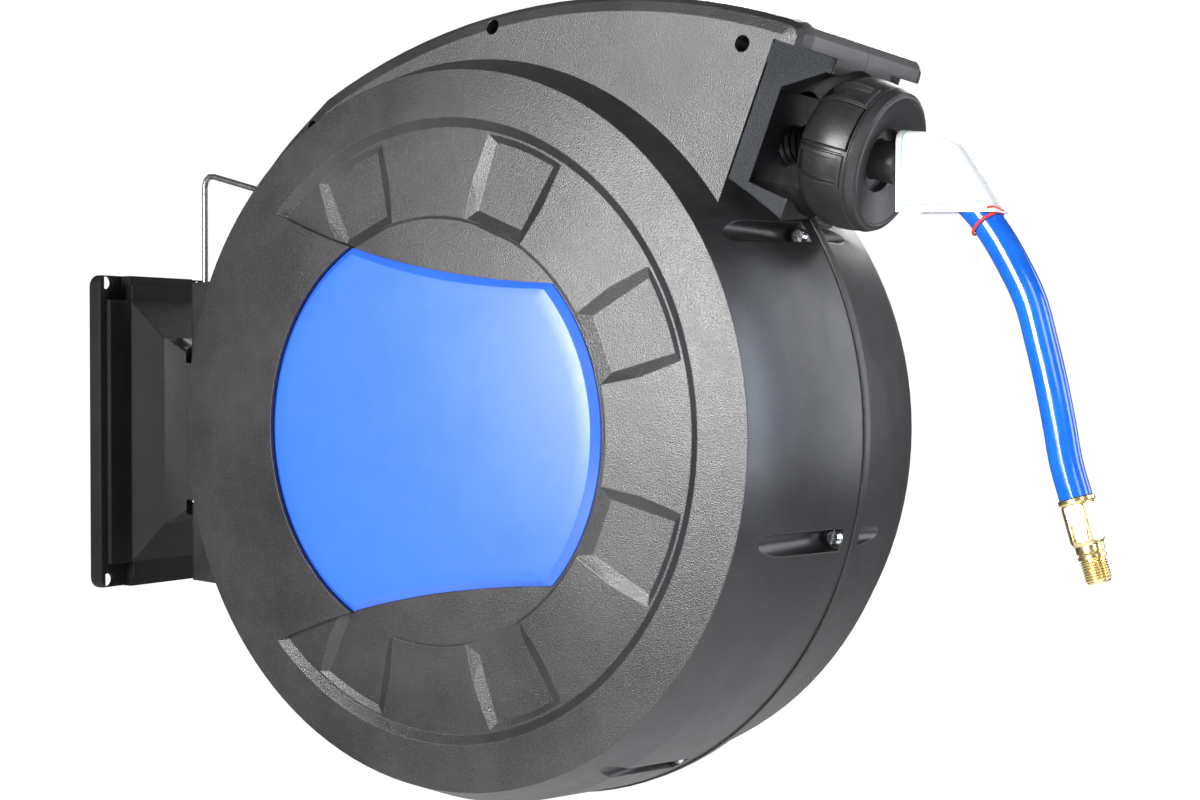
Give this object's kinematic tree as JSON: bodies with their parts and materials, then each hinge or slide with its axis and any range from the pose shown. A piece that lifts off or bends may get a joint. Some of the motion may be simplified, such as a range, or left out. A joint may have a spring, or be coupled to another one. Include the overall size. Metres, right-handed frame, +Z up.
{
  "type": "retractable air hose reel",
  "caption": "Wall-mounted spring-retractable air hose reel with a round grey case, a blue badge, a ribbed hose stopper and a swivel bracket.",
  "frame": {"origin": "centre of the four wall bolts, in the plane where the bracket meets the wall", "axes": "+X out from the wall, +Z up, +Y along the drum axis away from the badge"},
  "size_m": [0.6905, 0.2333, 0.4535],
  "materials": {
    "case": "fine grained matte",
    "bracket": "fine grained matte",
    "badge": "satin",
    "stopper": "satin",
    "guide": "satin",
    "bush": "satin",
    "hose": "gloss",
    "brass": "bright",
    "steel": "satin",
    "screw": "zinc plated",
    "spring": "blued",
    "paper": "satin",
    "tie": "satin",
    "rubber": "satin"
  },
  "bodies": {
    "bracket": {"wall_bracket": "bracket", "hinge_bushes": "bush"},
    "pin": {"pivot_pin": "steel"},
    "reel": {"hinge_yoke": "case", "yoke_screws": "screw", "front_shell": "case", "rear_shell": "case", "badge": "badge", "case_screws": "screw", "mouth_frame": "guide", "roller_pins": "screw", "frame_screws": "screw", "stopper_near": "stopper", "stopper_far": "stopper", "stopper_nose": "stopper", "stopper_screws": "screw", "hose_lead": "hose", "hose_tail": "hose", "hose_ferrule": "brass", "hose_fitting": "brass", "hang_tag": "paper", "tag_tie": "tie", "axle_tube": "steel", "seal_rings": "rubber", "inlet_stem": "brass", "pawl_pin": "steel", "pawl_spring": "spring", "power_spring": "spring"},
    "drum": {"drum_spool": "guide", "drum_flange": "guide", "drum_bushes": "bush", "spring_cover": "steel", "ratchet_ring": "steel", "hub_elbow": "brass", "wound_hose": "hose"},
    "pawl": {"ratchet_pawl": "steel"},
    "roller_upper_body": {"roller_upper": "guide"},
    "roller_lower_body": {"roller_lower": "guide"},
    "roller_near_body": {"roller_near": "guide"},
    "roller_far_body": {"roller_far": "guide"}
  },
  "joints": [
    {"name": "reel_swivel", "type": "hinge", "parent": "bracket", "child": "reel", "pos_m": [0.055, 0, 0], "axis": [0, 0, 1], "range_deg": [-60, 60]},
    {"name": "pin_lift", "type": "slide", "parent": "bracket", "child": "pin", "axis": [0, 0, 1], "range_m": [0, 0.15]},
    {"name": "drum_spin", "type": "hinge", "parent": "reel", "child": "drum", "pos_m": [0.34, 0, 0.008], "axis": [0, 1, 0], "range_deg": [0, 9000], "stiffness_Nm_per_rad": 0.03, "springref_deg": -3437.75},
    {"name": "pawl_swing", "type": "hinge", "parent": "reel", "child": "pawl", "pos_m": [0.366, -0.0666, 0.1], "axis": [0, -1, 0], "range_deg": [0, 12], "stiffness_Nm_per_rad": 0.02, "springref_deg": -17.19},
    {"name": "roller_upper_spin", "type": "hinge", "parent": "reel", "child": "roller_upper_body", "pos_m": [0.50698, 0, 0.17752], "axis": [0, 1, 0], "continuous": true},
    {"name": "roller_lower_spin", "type": "hinge", "parent": "reel", "child": "roller_lower_body", "pos_m": [0.49446, 0, 0.14655], "axis": [0, 1, 0], "continuous": true},
    {"name": "roller_near_spin", "type": "hinge", "parent": "reel", "child": "roller_near_body", "pos_m": [0.48475, -0.0152, 0.16148], "axis": [0.3746, 0, 0.9272], "continuous": true},
    {"name": "roller_far_spin", "type": "hinge", "parent": "reel", "child": "roller_far_body", "pos_m": [0.48475, 0.0152, 0.16148], "axis": [0.3746, 0, 0.9272], "continuous": true}
  ]
}
